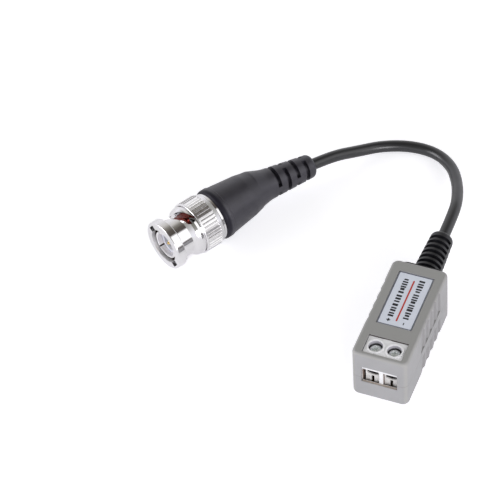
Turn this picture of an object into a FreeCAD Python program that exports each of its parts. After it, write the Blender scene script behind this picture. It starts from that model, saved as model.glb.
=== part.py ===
import FreeCAD, Part

import math
import os

import Sketcher

# A video balun for a twisted pair: a two-part grey housing with a two-pole screw terminal at its front,
# a ribbed strain relief at its rear, and a short thin coax with a moulded bayonet plug.
# Origin: centre of the housing's underside. +X right, +Y from terminals to cable, +Z up, in millimetres.

V = FreeCAD.Vector

SIZES = {
    # housing halves
    "housing_width": 15.2,
    "housing_length": 33.8,
    "housing_height": 16.2,
    "seam_height": 7.4,
    "wall": 1.3,
    "top_wall": 1.4,
    "corner_radius": 1.8,
    "rim_radius": 0.9,
    "tongue_height": 0.7,
    "tongue_width": 0.55,
    "tongue_gap": 0.08,
    "flute_count": 5,
    "flute_pitch": 3.14,
    "flute_start": -6.1,
    "flute_depth": 0.45,
    "flute_steep": 0.45,
    "flute_margin": 1.3,
    # label
    "label_width": 9.4,
    "label_length": 18.4,
    "label_centre": 4.0,
    "label_recess": 0.35,
    "label_thickness": 0.2,
    "label_gap": 0.15,
    "label_corner": 0.6,
    # windows in the housing
    "screw_window_width": 10.7,
    "screw_window_length": 6.0,
    "entry_window_width": 9.7,
    "entry_window_sill": 5.75,
    "entry_window_head": 11.5,
    "entry_wall": 0.6,
    # circuit board
    "board_width": 11.6,
    "board_length": 27.0,
    "board_thickness": 1.0,
    "board_height": 3.2,
    "board_gap": 0.3,
    "ledge_width": 1.4,
    "ledge_length": 3.0,
    # terminal block
    "terminal_pitch": 5.08,
    "block_shift": 0.3,
    "nose_top": 13.5,
    "block_gap": 0.15,
    "block_recess": 0.4,
    "block_front_wall": 0.3,
    "foot_width": 10.9,
    "divider_width": 1.0,
    "chamber_reach": 5.15,
    "chamber_length": 5.6,
    "chamber_top": 13.1,
    "entry_sill": 5.4,
    "entry_head": 9.95,
    "shelf_thickness": 0.7,
    "well_radius": 1.92,
    "well_rim_radius": 2.4,
    "well_rim_height": 0.2,
    "lug_width": 2.0,
    # clamp: screw, rising cage and fixed contact
    "screw_setback": 2.75,
    "screw_radius": 1.45,
    "screw_head_radius": 1.75,
    "screw_head_height": 1.6,
    "screw_gap": 0.05,
    "recess_width": 0.55,
    "recess_span": 2.3,
    "recess_depth": 0.8,
    "cage_width": 3.8,
    "cage_setback": 0.6,
    "cage_side": 0.32,
    "cage_length": 4.4,
    "cage_top_thickness": 0.7,
    "jaw_thickness": 0.7,
    "jaw_dish": 0.35,
    "jaw_apron": 2.25,
    "apron_thickness": 0.45,
    "slot_width": 0.8,
    "contact_width": 2.6,
    "contact_thickness": 0.7,
    "contact_top": 9.95,
    "wire_gap": 1.45,
    "clamp_travel": 2.0,
    "leg_thickness": 0.4,
    "pin_width": 0.9,
    "pin_below_board": 0.9,
    "running_gap": 0.1,
    # parts on the board
    "core_radius": 4.1,
    "core_hole_radius": 2.0,
    "core_height": 3.2,
    "core_centre": -3.4,
    "winding_thickness": 0.4,
    "winding_gap": 0.05,
    "winding_span": 120.0,
    "suppressor_length": 4.3,
    "suppressor_width": 2.6,
    "suppressor_height": 2.2,
    "capacitor_length": 2.0,
    "capacitor_width": 1.25,
    "capacitor_height": 0.9,
    "parts_row": 4.6,
    # strain relief and cable
    "cable_diameter": 3.2,
    "cable_entry": 7.0,
    "relief_height": 8.6,
    "relief_neck_radius": 3.0,
    "relief_inner_radius": 3.9,
    "relief_inner_thickness": 0.8,
    "relief_plate_width": 12.0,
    "relief_plate_height": 12.7,
    "relief_plate_thickness": 0.9,
    "relief_plate_corner": 2.2,
    "relief_root_radius": 4.3,
    "relief_base_radius": 3.8,
    "relief_end_radius": 3.1,
    "relief_core_radius": 2.35,
    "relief_length": 17.2,
    "relief_end_round": 1.2,
    "relief_root_length": 2.0,
    "rib_count": 7,
    "rib_pitch": 1.85,
    "rib_window": 1.1,
    "rail_angle": 16.0,
    "rail_setback": 1.0,
    "rail_heading": -12.0,
    "core_end_length": 3.2,
    "lead_radius": 0.4,
    # plug placing
    "mouth_x": -69.9,
    "mouth_y": 8.4,
    "plug_heading": 60.0,
    # plug: coupling sleeve
    "sleeve_length": 15.6,
    "lip_radius": 7.15,
    "lip_length": 2.5,
    "barrel_radius": 5.8,
    "flare_start": 6.1,
    "flare_middle": 7.3,
    "flare_shoulder": 6.8,
    "flare_end": 8.2,
    "collar_radius": 7.1,
    "collar_end": 8.9,
    "collar_groove": 0.35,
    "drum_start": 9.25,
    "drum_radius": 7.5,
    "drum_rim": 0.6,
    "drum_rear_radius": 7.15,
    "knurl_end": 14.3,
    "knurl_count": 46,
    "knurl_depth": 0.32,
    "knurl_width": 0.48,
    "sleeve_rounding": 0.3,
    "bore_radius": 4.95,
    "shoulder_start": 10.0,
    "shoulder_thickness": 0.9,
    "shoulder_radius": 4.2,
    "drum_bore_radius": 6.15,
    "notch_width": 2.4,
    "notch_reach": 6.2,
    "channel_reach": 5.45,
    "channel_length": 4.6,
    "notch_heading": 36.0,
    "cover_radius": 6.6,
    "cover_length": 0.6,
    "cover_span": 40.0,
    "slot_lead": 4.0,
    "slot_turn": 68.0,
    "slot_start": 3.6,
    "slot_rise": 3.3,
    "slot_height": 2.2,
    "detent_radius": 1.3,
    # plug: body and what it carries
    "contact_radius": 4.05,
    "contact_bore": 3.4,
    "contact_tip": 0.7,
    "finger_depth": 4.0,
    "finger_slot": 0.45,
    "finger_heading": 45.0,
    "gasket_start": 5.2,
    "gasket_length": 2.6,
    "gasket_radius": 4.8,
    "seat_radius": 3.8,
    "flange_radius": 4.75,
    "flange_thickness": 0.8,
    "stem_radius": 3.8,
    "washer_thickness": 0.35,
    "thrust_thickness": 0.28,
    "washer_gap": 0.05,
    "clip_thickness": 0.6,
    "clip_radius": 5.3,
    "clip_seat_radius": 3.5,
    "hub_radius": 5.9,
    "hub_rim_radius": 6.85,
    "hub_rim_gap": 0.1,
    "hub_rim_thickness": 0.6,
    "spigot_radius": 3.0,
    "spigot_length": 7.0,
    "spigot_bore": 1.5,
    "crimp_thickness": 0.55,
    "crimp_start": 0.6,
    "crimp_length": 6.2,
    "insulator_start": 2.0,
    "insulator_bore": 2.35,
    "insulator_web": 5.6,
    "insulator_end": 12.6,
    "pin_radius": 0.68,
    "pin_step": 5.5,
    "pin_root_radius": 0.9,
    "pin_nose": 0.25,
    "pin_tip": 1.4,
    "pin_end": 14.4,
    # plug: moulded boot
    "boot_nose_radius": 7.4,
    "boot_face_radius": 6.65,
    "boot_nose_length": 2.5,
    "boot_step": 0.18,
    "boot_shoulder_radius": 6.2,
    "boot_shoulder": 27.6,
    "boot_neck_radius": 5.55,
    "boot_neck": 30.5,
    "boot_bend": 8.0,
    "boot_bend_heading": 41.6,
    "tail_length": 19.4,
    "tail_overlap": 1.5,
    "tail_root_radius": 4.4,
    "tail_root": 4.2,
    "tail_root_rounding": 10.0,
    "tail_end_radius": 3.25,
    "tail_round": 1.3,
    "tail_slot_start": 6.1,
    "tail_slot_pitch": 3.17,
    "tail_slot_width": 1.2,
    "tail_slot_count": 4,
    "tail_slot_floor": 2.3,
    "tail_slot_angle": 156.0,
    "tail_slot_heading": 42.0,
    "tool_margin": 0.5,
}


class Term:
    """A length: its value now, and the expression over the sheet that keeps it up to date."""

    def __init__(self, value, text):
        self.value = float(value)
        self.text = text

    def __add__(self, other):
        other = term(other)
        return Term(self.value + other.value, f"({self.text} + {other.text})")

    def __radd__(self, other):
        return term(other) + self

    def __sub__(self, other):
        other = term(other)
        return Term(self.value - other.value, f"({self.text} - {other.text})")

    def __rsub__(self, other):
        return term(other) - self

    def __mul__(self, other):
        other = term(other)
        return Term(self.value * other.value, f"({self.text} * {other.text})")

    def __rmul__(self, other):
        return term(other) * self

    def __truediv__(self, other):
        other = term(other)
        return Term(self.value / other.value, f"({self.text} / {other.text})")

    def __neg__(self):
        return Term(-self.value, f"(0 - {self.text})")


def term(value):
    """A Term from a Term or a plain number."""
    return value if isinstance(value, Term) else Term(value, repr(float(value)))


def fill_sheet(document):
    """Write the driving dimensions into the document's spreadsheet, one aliased cell each."""
    sheet = document.addObject("Spreadsheet::Sheet", "Sizes")
    for row, (alias, value) in enumerate(SIZES.items(), start=1):
        sheet.set(f"A{row}", alias)
        sheet.set(f"B{row}", str(value))
        sheet.setAlias(f"B{row}", alias)
    document.recompute()
    return sheet


doc = FreeCAD.newDocument("video_balun")
size_sheet = fill_sheet(doc)


def size(alias):
    """The named driving dimension as a Term."""
    return Term(getattr(size_sheet, alias), f"Sizes.{alias}")


def bind(item, path, value):
    """Bind one property of an object to a Term."""
    item.setExpression(path, term(value).text)


# Sketches and PartDesign features

subparts = []


def new_body(label, keep=True):
    """An empty PartDesign body. A kept one is a sub-part and names its file."""
    body = doc.addObject("PartDesign::Body", label)
    body.Label = label
    if keep:
        subparts.append(body)
    return body


def new_sketch(body, role="XY_Plane", lift=0, turn=None):
    """A sketch on one of the body's own planes, lifted along its normal and turned in it."""
    plane = next(item for item in body.Origin.OriginFeatures if item.Role == role)
    sketch = body.newObject("Sketcher::SketchObject", "profile")
    sketch.AttachmentSupport = [(plane, "")]
    sketch.MapMode = "FlatFace"
    if turn:
        sketch.AttachmentOffset = turn
    if term(lift).value:
        bind(sketch, "AttachmentOffset.Base.z", lift)
    return sketch


def turn_about_axis(heading):
    """An attachment offset that turns an XZ sketch about its upright axis."""
    return FreeCAD.Placement(V(0, 0, 0), FreeCAD.Rotation(V(0, 1, 0), heading))


def outline(sketch, points):
    """A closed straight-sided loop whose corners are all dimensioned from the origin."""
    points = [(term(x), term(y)) for x, y in points]
    first = sketch.GeometryCount
    count = len(points)
    for i in range(count):
        (x0, y0), (x1, y1) = points[i], points[(i + 1) % count]
        sketch.addGeometry(Part.LineSegment(V(x0.value, y0.value, 0), V(x1.value, y1.value, 0)))
    for i, (x, y) in enumerate(points):
        here = first + i
        sketch.addConstraint(Sketcher.Constraint("Coincident", here, 2, first + (i + 1) % count, 1))
        for kind, value in (("DistanceX", x), ("DistanceY", y)):
            made = sketch.addConstraint(Sketcher.Constraint(kind, -1, 1, here, 1, value.value))
            sketch.setExpression(f"Constraints[{made}]", value.text)


def circle(sketch, x, y, radius):
    """A full circle with its centre dimensioned from the origin."""
    x, y, radius = term(x), term(y), term(radius)
    here = sketch.addGeometry(Part.Circle(V(x.value, y.value, 0), V(0, 0, 1), radius.value))
    for kind, value in (("DistanceX", x), ("DistanceY", y)):
        made = sketch.addConstraint(Sketcher.Constraint(kind, -1, 1, here, 3, value.value))
        sketch.setExpression(f"Constraints[{made}]", value.text)
    made = sketch.addConstraint(Sketcher.Constraint("Radius", here, radius.value))
    sketch.setExpression(f"Constraints[{made}]", radius.text)


def rectangle(x0, y0, x1, y1):
    """Corner points of an upright rectangle."""
    return [(x0, y0), (x1, y0), (x1, y1), (x0, y1)]


def pad(body, sketch, length, flip=False):
    """Raise the sketch along its plane's normal, or against it."""
    feature = body.newObject("PartDesign::Pad", "pad")
    feature.Profile = sketch
    feature.Reversed = flip
    bind(feature, "Length", length)
    return feature


def pocket(body, sketch, depth, flip=False):
    """Cut the sketch into the solid against its plane's normal, or along it."""
    feature = body.newObject("PartDesign::Pocket", "pocket")
    feature.Profile = sketch
    feature.Reversed = flip
    bind(feature, "Length", depth)
    return feature


def revolve(body, sketch, kind="PartDesign::Revolution", angle=360, centred=False):
    """Turn the sketch about its own upright axis: a revolution, or a groove."""
    feature = body.newObject(kind, "turned")
    feature.Profile = sketch
    feature.ReferenceAxis = (sketch, ["V_Axis"])
    feature.Midplane = centred
    bind(feature, "Angle", angle)
    return feature


def repeat_round(body, feature, count):
    """The feature repeated evenly about the body's Z axis."""
    doc.recompute()
    axis = next(item for item in body.Origin.OriginFeatures if item.Role == "Z_Axis")
    pattern = body.newObject("PartDesign::PolarPattern", "round_pattern")
    pattern.Originals = [feature]
    pattern.Axis = (axis, [""])
    pattern.Angle = 360
    bind(pattern, "Occurrences", count)
    body.Tip = pattern
    return pattern


def round_edges(body, wanted, radius):
    """Round the edges of the body so far that the test accepts."""
    doc.recompute()
    base = body.Tip
    names = [f"Edge{i}" for i, edge in enumerate(base.Shape.Edges, start=1) if wanted(edge)]
    if not names:
        raise ValueError(f"{body.Label} has no edge to round")
    feature = body.newObject("PartDesign::Fillet", "rounding")
    feature.Base = (base, names)
    bind(feature, "Radius", radius)
    body.Tip = feature
    return feature


def turned_body(label, profile, keep=True):
    """A body turned about its Z axis from a closed profile of (radius, height) points."""
    body = new_body(label, keep)
    sketch = new_sketch(body, "XZ_Plane")
    outline(sketch, profile)
    revolve(body, sketch)
    return body


def near(a, b):
    return abs(a - term(b).value) < 1e-4


def is_upright(edge):
    """True for a straight edge along Z."""
    a, b = edge.Vertexes[0].Point, edge.Vertexes[-1].Point
    return len(edge.Vertexes) == 2 and near(a.x, b.x) and near(a.y, b.y)


def lies_at(height):
    """A test for edges that lie wholly in the plane z = height."""
    return lambda edge: all(near(v.Z, height) for v in edge.Vertexes) and near(edge.CenterOfMass.z, height)


def ring_of(radius):
    """A test for circular edges of that radius."""
    return lambda edge: hasattr(edge.Curve, "Radius") and near(edge.Curve.Radius, radius)


def ring_at(radius, height):
    """A test for the circular edge of that radius at that height."""
    return lambda edge: ring_of(radius)(edge) and lies_at(height)(edge)


def place(item, x=0, y=0, z=0):
    """Bind an object's position to three Terms."""
    for name, value in (("x", x), ("y", y), ("z", z)):
        if term(value).text != "0.0":
            bind(item, f"Placement.Base.{name}", value)


def block(label, length, width, height, x, y, z, keep=True):
    """A plain box, centred on x and y and standing on z."""
    item = doc.addObject("Part::Box", label)
    item.Label = label
    bind(item, "Length", length)
    bind(item, "Width", width)
    bind(item, "Height", height)
    place(item, x - length / 2, y - width / 2, z)
    if keep:
        subparts.append(item)
    return item


# Housing

half_width = size("housing_width") / 2
half_length = size("housing_length") / 2
inner_width = half_width - size("wall")
inner_length = half_length - size("wall")
seam = size("seam_height")
roof = size("housing_height")
block_middle = size("block_shift")


def housing_blank(label, foot, crown, rim):
    """A solid half of the housing between two heights, with its upright and rim edges rounded."""
    body = new_body(label)
    sketch = new_sketch(body, lift=foot)
    outline(sketch, rectangle(-half_width, -half_length, half_width, half_length))
    pad(body, sketch, crown - foot)
    round_edges(body, is_upright, size("corner_radius"))
    round_edges(body, lies_at(rim), size("rim_radius"))
    return body


def cut_entry_window(body, low, high):
    """The front window's share that falls in this half."""
    sketch = new_sketch(body, "XZ_Plane", lift=half_length)
    half = size("entry_window_width") / 2
    outline(sketch, rectangle(-half, low, half, high))
    pocket(body, sketch, size("wall"))


def cut_nose_room(body, low, high):
    """A pocket in the inner side of the front wall, where the terminal block's nose stands."""
    sketch = new_sketch(body, "XZ_Plane", lift=inner_length)
    half = size("foot_width") / 2 + size("block_gap")
    outline(sketch, rectangle(block_middle - half, low, block_middle + half, high))
    pocket(body, sketch, size("wall") - size("entry_wall"), flip=True)


def cut_relief_hole(body):
    """The round hole in the rear wall for the strain relief's neck."""
    sketch = new_sketch(body, "XZ_Plane", lift=-half_length)
    circle(sketch, 0, size("relief_height"), size("relief_neck_radius") + size("running_gap"))
    pocket(body, sketch, size("wall"), flip=True)


def cut_flutes(body, low, high):
    """A row of upright saw-tooth grip flutes along both sides, between two heights."""
    sketch = new_sketch(body, lift=low)
    start = size("flute_start")
    deep = half_width - size("flute_depth")
    proud = half_width + size("tool_margin")
    for side in (1, -1):
        points = [
            (side * half_width, start),
            (side * proud, start),
            (side * proud, start + size("flute_pitch")),
            (side * half_width, start + size("flute_pitch")),
            (side * deep, start + size("flute_pitch") - size("flute_steep")),
        ]
        outline(sketch, points)
    cut = pocket(body, sketch, high - low, flip=True)
    doc.recompute()
    row = body.newObject("PartDesign::LinearPattern", "flute_row")
    row.Originals = [cut]
    row.Direction = (sketch, ["V_Axis"])
    bind(row, "Length", size("flute_pitch") * (size("flute_count") - 1))
    bind(row, "Occurrences", size("flute_count"))
    body.Tip = row


def make_lower_shell():
    """The tray that carries the board: floor, ledges, tongue, half of each opening."""
    body = housing_blank("lower_shell", term(0), seam, 0)
    sketch = new_sketch(body, lift=seam)
    outline(sketch, rectangle(-inner_width, -inner_length, inner_width, inner_length))
    pocket(body, sketch, seam - size("top_wall"))
    sketch = new_sketch(body, lift=size("top_wall"))
    for side in (1, -1):
        for end in (1, -1):
            near_x = side * (inner_width - size("ledge_width"))
            near_y = end * (inner_length - size("ledge_length")) - size("board_gap") * (end + 1)
            far_y = end * inner_length - size("board_gap") * (end + 1)
            outline(sketch, rectangle(near_x, near_y, side * inner_width, far_y))
    pad(body, sketch, size("board_height") - size("top_wall"))
    sketch = new_sketch(body, lift=seam)
    outline(sketch, rectangle(-inner_width, -inner_length, inner_width, inner_length))
    tongue_x = inner_width + size("tongue_width")
    tongue_y = inner_length + size("tongue_width")
    outline(sketch, rectangle(-tongue_x, -tongue_y, tongue_x, tongue_y))
    pad(body, sketch, size("tongue_height"))
    above_tongue = seam + size("tongue_height") + size("tool_margin")
    cut_entry_window(body, size("entry_window_sill"), above_tongue)
    cut_nose_room(body, size("board_height"), above_tongue)
    cut_relief_hole(body)
    cut_flutes(body, term(0), seam - size("flute_margin"))
    return body


def make_upper_shell():
    """The cover: window over the screws, recess for the label, half of each opening."""
    body = housing_blank("upper_shell", seam, roof, roof)
    sketch = new_sketch(body, lift=seam)
    outline(sketch, rectangle(-inner_width, -inner_length, inner_width, inner_length))
    pocket(body, sketch, roof - size("top_wall") - seam, flip=True)
    sketch = new_sketch(body, lift=seam)
    rebate_x = inner_width + size("tongue_width") + size("tongue_gap")
    rebate_y = inner_length + size("tongue_width") + size("tongue_gap")
    outline(sketch, rectangle(-rebate_x, -rebate_y, rebate_x, rebate_y))
    pocket(body, sketch, size("tongue_height") + size("tongue_gap"), flip=True)
    sketch = new_sketch(body, lift=roof)
    half = size("screw_window_width") / 2
    window_rear = -inner_length + size("screw_window_length")
    outline(sketch, rectangle(block_middle - half, -inner_length, block_middle + half, window_rear))
    pocket(body, sketch, size("top_wall"))
    sketch = new_sketch(body, lift=roof)
    half_x = size("label_width") / 2 + size("label_gap")
    half_y = size("label_length") / 2 + size("label_gap")
    middle = size("label_centre")
    outline(sketch, rectangle(-half_x, middle - half_y, half_x, middle + half_y))
    pocket(body, sketch, size("label_recess"))
    cut_entry_window(body, seam - size("tool_margin"), size("entry_window_head"))
    cut_nose_room(body, seam - size("tool_margin"), size("nose_top") + size("block_gap"))
    cut_relief_hole(body)
    cut_flutes(body, seam + size("flute_margin"), roof)
    return body


def make_label():
    """The sticker in its recess, with small round corners."""
    body = new_body("label")
    sketch = new_sketch(body, lift=roof - size("label_recess"))
    half_x = size("label_width") / 2
    half_y = size("label_length") / 2
    middle = size("label_centre")
    outline(sketch, rectangle(-half_x, middle - half_y, half_x, middle + half_y))
    pad(body, sketch, size("label_thickness"))
    round_edges(body, is_upright, size("label_corner"))
    return body


# Circuit board and terminal block

board_top = size("board_height") + size("board_thickness")
board_front = -inner_length + size("board_gap")
block_half = size("screw_window_width") / 2 - size("block_gap")
block_front = -inner_length + size("block_gap")
block_rear = -inner_length + size("screw_window_length") - size("block_gap")
block_top = roof - size("block_recess")
nose_front = block_front - size("wall") + size("entry_wall")
chamber_front = nose_front + size("block_front_wall")
chamber_rear = chamber_front + size("chamber_length")
shelf_top = size("chamber_top") + size("shelf_thickness")
screw_line = block_front + size("screw_setback")
cage_front = chamber_front + size("cage_setback")
contact_front = cage_front + size("running_gap")
contact_rear = chamber_rear - size("running_gap")
half_pitch = size("terminal_pitch") / 2
POLES = (("positive", -1), ("negative", 1))


def pole_line(side):
    """The middle of the left or the right pole."""
    return block_middle + half_pitch * side


def chamber_sides(side):
    """The inner and the outer side of the left or the right chamber."""
    inner = block_middle + size("divider_width") / 2 * side
    return inner, block_middle + size("chamber_reach") * side


def make_circuit_board():
    """The board on its four ledges, slotted for the two solder pins."""
    body = new_body("circuit_board")
    sketch = new_sketch(body, lift=size("board_height"))
    half = size("board_width") / 2
    outline(sketch, rectangle(-half, board_front, half, board_front + size("board_length")))
    pad(body, sketch, size("board_thickness"))
    sketch = new_sketch(body, lift=board_top)
    half = size("pin_width") / 2 + size("running_gap")
    for _, side in POLES:
        middle = pole_line(side)
        rear = contact_rear + size("running_gap")
        front = contact_rear - size("leg_thickness") - size("running_gap")
        outline(sketch, rectangle(middle - half, front, middle + half, rear))
    pocket(body, sketch, size("board_thickness"))
    return body


def make_terminal_block():
    """The two-pole moulding: a nose behind the front window, chambers, and screw wells open above."""
    body = new_body("terminal_block")
    left, right = block_middle - block_half, block_middle + block_half
    sketch = new_sketch(body, lift=board_top)
    outline(sketch, rectangle(left, block_front, right, block_rear))
    pad(body, sketch, block_top - board_top)
    half_foot = size("foot_width") / 2
    sketch = new_sketch(body, lift=board_top)
    outline(sketch, rectangle(block_middle - half_foot, nose_front, block_middle + half_foot, block_rear))
    pad(body, sketch, size("nose_top") - board_top)
    sketch = new_sketch(body, lift=board_top)
    half_lug = size("lug_width") / 2
    outline(sketch, rectangle(-half_lug, block_rear, half_lug, block_rear + size("block_gap") / 2))
    pad(body, sketch, block_top - board_top)
    sketch = new_sketch(body, lift=block_top)
    for _, side in POLES:
        circle(sketch, pole_line(side), screw_line, size("well_rim_radius") - size("running_gap") / 2)
    pad(body, sketch, size("well_rim_height"))
    sketch = new_sketch(body, lift=board_top)
    for _, side in POLES:
        inner, outer = chamber_sides(side)
        outline(sketch, rectangle(inner, chamber_front, outer, chamber_rear))
    pocket(body, sketch, size("chamber_top") - board_top, flip=True)
    sketch = new_sketch(body, "XZ_Plane", lift=-nose_front)
    for _, side in POLES:
        inner, outer = chamber_sides(side)
        outline(sketch, rectangle(inner, size("entry_sill"), outer, size("entry_head")))
    pocket(body, sketch, size("block_front_wall"))
    sketch = new_sketch(body, lift=block_top + size("well_rim_height"))
    for _, side in POLES:
        circle(sketch, pole_line(side), screw_line, size("well_radius"))
    pocket(body, sketch, block_top + size("well_rim_height") - shelf_top)
    sketch = new_sketch(body, lift=shelf_top)
    for _, side in POLES:
        circle(sketch, pole_line(side), screw_line, size("screw_radius") + size("running_gap"))
    pocket(body, sketch, size("shelf_thickness"))
    return body


def make_screw(pole, side):
    """A clamp screw with a cross recess. Its head rests on the shelf, its tip on the fixed contact."""
    tip = size("contact_top") + size("screw_gap") / 2
    head_top = shelf_top + size("screw_head_height")
    radius, head = size("screw_radius"), size("screw_head_radius")
    profile = [(0, tip), (radius, tip), (radius, shelf_top), (head, shelf_top)]
    profile += [(head, head_top), (0, head_top)]
    body = turned_body(f"terminal_screw_{pole}", profile)
    narrow, span = size("recess_width"), size("recess_span")
    for wide, long in ((narrow, span), (span, narrow)):
        sketch = new_sketch(body, lift=head_top)
        outline(sketch, rectangle(-wide / 2, -long / 2, wide / 2, long / 2))
        pocket(body, sketch, size("recess_depth"))
    place(body, x=pole_line(side), y=screw_line)


jaw_top = size("contact_top") - size("contact_thickness") - size("wire_gap")
cage_window_top = jaw_top + size("clamp_travel") + size("contact_thickness")


def make_cage(pole, side):
    """A rising cage: a square loop about the fixed contact, with a dished jaw and a slotted apron."""
    body = new_body(f"clamp_cage_{pole}")
    half, inner = size("cage_width") / 2, size("cage_width") / 2 - size("cage_side")
    jaw_foot = jaw_top - size("jaw_thickness")
    sketch = new_sketch(body, "XZ_Plane", lift=-cage_front)
    outline(sketch, rectangle(-half, jaw_foot, half, cage_window_top + size("cage_top_thickness")))
    pad(body, sketch, size("cage_length"), flip=True)
    sketch = new_sketch(body, "XZ_Plane", lift=-cage_front)
    outline(sketch, rectangle(-inner, jaw_top, inner, cage_window_top))
    pocket(body, sketch, size("cage_length"))
    sketch = new_sketch(body, "XZ_Plane", lift=-cage_front)
    outline(sketch, [(-inner, jaw_top), (0, jaw_top - size("jaw_dish")), (inner, jaw_top)])
    pocket(body, sketch, size("cage_length"))
    sketch = new_sketch(body, "XZ_Plane", lift=-cage_front)
    outline(sketch, rectangle(-half, jaw_foot - size("jaw_apron"), half, jaw_foot))
    pad(body, sketch, size("apron_thickness"), flip=True)
    sketch = new_sketch(body, "XZ_Plane", lift=-cage_front)
    half_slot = size("slot_width") / 2
    outline(sketch, rectangle(-half_slot, jaw_foot - size("jaw_apron"), half_slot, jaw_foot))
    pocket(body, sketch, size("apron_thickness"))
    sketch = new_sketch(body, lift=cage_window_top + size("cage_top_thickness"))
    circle(sketch, 0, screw_line, size("screw_radius") + size("screw_gap"))
    pocket(body, sketch, size("cage_top_thickness"))
    place(body, x=pole_line(side))


def make_fixed_contact(pole, side):
    """The bar that the wire is pressed against, bent down at the rear into its solder pin."""
    body = new_body(f"fixed_contact_{pole}")
    top, under = size("contact_top"), size("contact_top") - size("contact_thickness")
    leg = contact_rear - size("leg_thickness")
    sketch = new_sketch(body, "YZ_Plane", lift=-size("contact_width") / 2)
    points = [
        (contact_front, under),
        (leg, under),
        (leg, board_top),
        (contact_rear, board_top),
        (contact_rear, top),
        (contact_front, top),
    ]
    outline(sketch, points)
    pad(body, sketch, size("contact_width"))
    sketch = new_sketch(body, lift=board_top)
    half = size("pin_width") / 2
    outline(sketch, rectangle(-half, leg, half, contact_rear))
    pad(body, sketch, size("board_thickness") + size("pin_below_board"), flip=True)
    place(body, x=pole_line(side))


def make_core():
    """A ring core lying on the board, inside its two windings."""
    foot = board_top + size("winding_thickness") + size("winding_gap")
    outer, hole, tall = size("core_radius"), size("core_hole_radius"), size("core_height")
    body = turned_body("ferrite_core", rectangle(hole, foot, outer, foot + tall))
    place(body, y=size("core_centre"))


def make_winding(label, heading):
    """A close-wound layer of wire round one side of the core."""
    body = new_body(label)
    gap, thick = size("winding_gap"), size("winding_thickness")
    hole, outer = size("core_hole_radius") - gap, size("core_radius") + gap
    foot, top = board_top + thick, board_top + thick + size("core_height") + gap * 2
    sketch = new_sketch(body, "XZ_Plane", turn=turn_about_axis(heading))
    outline(sketch, rectangle(hole - thick, foot - thick, outer + thick, top + thick))
    outline(sketch, rectangle(hole, foot, outer, top))
    revolve(body, sketch, angle=size("winding_span"), centred=True)
    place(body, y=size("core_centre"))


def make_board_parts():
    """The surge suppressor and the blocking capacitor, side by side behind the core."""
    row = size("parts_row")
    side = size("board_width") / 4
    block(
        "surge_suppressor",
        size("suppressor_width"),
        size("suppressor_length"),
        size("suppressor_height"),
        side,
        row,
        board_top,
    )
    block(
        "blocking_capacitor",
        size("capacitor_width"),
        size("capacitor_length"),
        size("capacitor_height"),
        -side,
        row,
        board_top,
    )


# Strain relief, cable and inner leads

cable_radius = size("cable_diameter") / 2
relief_end = half_length + size("relief_length")


def make_strain_relief():
    """A turned relief, its windows bridged by two rails, with a thin plate on the housing's rear face."""
    body = new_body("strain_relief")
    inside = -size("wall") - size("relief_inner_thickness") - size("running_gap") / 2
    neck_in = -size("wall") - size("running_gap") / 2
    plate = size("relief_plate_thickness")
    base, end = size("relief_base_radius"), size("relief_end_radius")
    first = plate + size("relief_root_length")
    last = size("relief_length")
    slope = (base - end) / (last - first)
    core = size("relief_core_radius")
    profile = [(0, inside), (size("relief_inner_radius"), inside), (size("relief_inner_radius"), neck_in)]
    profile += [(size("relief_neck_radius"), neck_in), (size("relief_neck_radius"), 0)]
    profile += [(size("relief_root_radius"), 0), (size("relief_root_radius"), plate), (base, first)]
    for i in range(int(size("rib_count").value)):
        front = first + size("rib_pitch") * i
        rear = front + size("rib_window")
        rib = rear + (size("rib_pitch") - size("rib_window"))
        if i:
            profile.append((base - slope * (front - first), front))
        profile += [(core, front), (core, rear), (base - slope * (rear - first), rear)]
        if i == int(size("rib_count").value) - 1:
            profile.append((base - slope * (rib - first), rib))
    profile += [(end, last), (0, last)]
    sketch = new_sketch(body, "XZ_Plane")
    outline(sketch, profile)
    revolve(body, sketch)
    for opposite in (0, 180):
        turn = turn_about_axis(size("rail_heading").value + opposite)
        sketch = new_sketch(body, "XZ_Plane", turn=turn)
        deep = core - size("tool_margin")
        rail_end = last - size("rail_setback")
        points = [(deep, plate), (size("relief_root_radius"), plate), (base, first)]
        outline(sketch, points + [(end, rail_end), (deep, rail_end)])
        revolve(body, sketch, angle=size("rail_angle"), centred=True)
    round_edges(body, ring_at(end, last), size("relief_end_round"))
    sketch = new_sketch(body)
    half_x, half_y = size("relief_plate_width") / 2, size("relief_plate_height") / 2
    outline(sketch, rectangle(-half_x, -half_y, half_x, half_y))
    pad(body, sketch, plate)
    round_edges(
        body,
        lambda edge: is_upright(edge) and near(abs(edge.Vertexes[0].X), half_x),
        size("relief_plate_corner"),
    )
    rearward = FreeCAD.Rotation(V(1, 0, 0), V(0, 0, -1), V(0, 1, 0), "ZXY")
    body.Placement = FreeCAD.Placement(V(0, 0, 0), rearward)
    place(body, y=half_length, z=size("relief_height"))


def rounded_path(points):
    """Straight runs joined by tangent arcs, each arc as large as its two runs allow, and its radii."""
    edges, radii = [], []
    here = points[0]
    for before, corner, after in zip(points, points[1:], points[2:]):
        run_in, run_out = corner - before, after - corner
        shorter = min(run_in.Length, run_out.Length)
        half_turn = run_in.getAngle(run_out) / 2
        reach = 0.45 * shorter
        start = corner - V(run_in).normalize() * reach
        end = corner + V(run_out).normalize() * reach
        radius = reach / math.tan(half_turn)
        inward = (V(run_out).normalize() - V(run_in).normalize()).normalize()
        middle = corner + inward * (radius / math.cos(half_turn) - radius)
        edges.append(Part.LineSegment(here, start).toShape())
        edges.append(Part.Arc(start, middle, end).toShape())
        radii.append(radius)
        here = end
    edges.append(Part.LineSegment(here, points[-1]).toShape())
    return Part.Wire(edges), radii


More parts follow.
